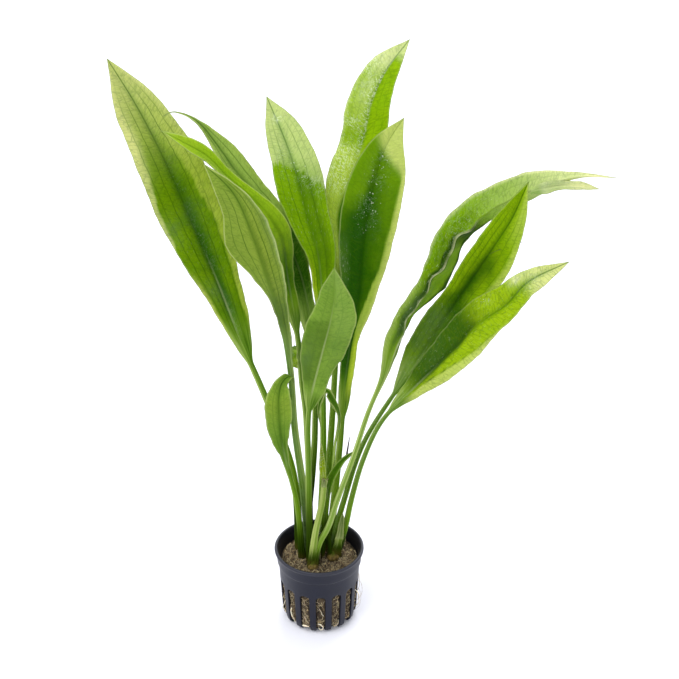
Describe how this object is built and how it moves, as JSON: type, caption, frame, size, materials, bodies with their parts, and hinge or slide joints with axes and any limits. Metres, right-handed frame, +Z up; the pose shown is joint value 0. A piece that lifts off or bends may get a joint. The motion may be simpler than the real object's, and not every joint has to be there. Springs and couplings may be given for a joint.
{
  "type": "potted aquarium plant",
  "caption": "Rosette aquatic plant with long stalked sword-shaped leaves, rooted in growing wool in a small open-slotted net pot.",
  "frame": {"origin": "centre of the pot's flat underside", "axes": "+Z up out of the pot, -Y towards the front of the plant, +X to its right"},
  "size_m": [0.2594, 0.1166, 0.3173],
  "materials": {
    "pot_plastic": "satin",
    "growing_wool": "matte",
    "crown_tissue": "satin",
    "root_tissue": "satin",
    "leaf_mid_green": "satin",
    "leaf_deep_green": "satin",
    "leaf_bright_green": "satin",
    "leaf_grey_green": "satin",
    "leaf_pale_under": "satin",
    "bud_yellow": "satin",
    "stub_pale": "satin"
  },
  "bodies": {
    "root": {"pot": "pot_plastic", "soil": "growing_wool", "crown_front": "crown_tissue", "crown_right": "crown_tissue", "root": "root_tissue", "far_left": "leaf_mid_green", "left_back": "leaf_grey_green", "left_bright": "leaf_bright_green", "left_front": "leaf_pale_under", "centre_left": "leaf_bright_green", "top": "leaf_mid_green", "centre_right": "leaf_deep_green", "front_small": "leaf_pale_under", "curled_small": "leaf_pale_under", "arch_right": "leaf_mid_green", "right_mid": "leaf_mid_green", "right_low": "leaf_bright_green", "kinked_young": "leaf_mid_green", "bud": "bud_yellow", "short_young": "leaf_mid_green", "cut_stub": "stub_pale", "sheath": "stub_pale"}
  },
  "joints": []
}
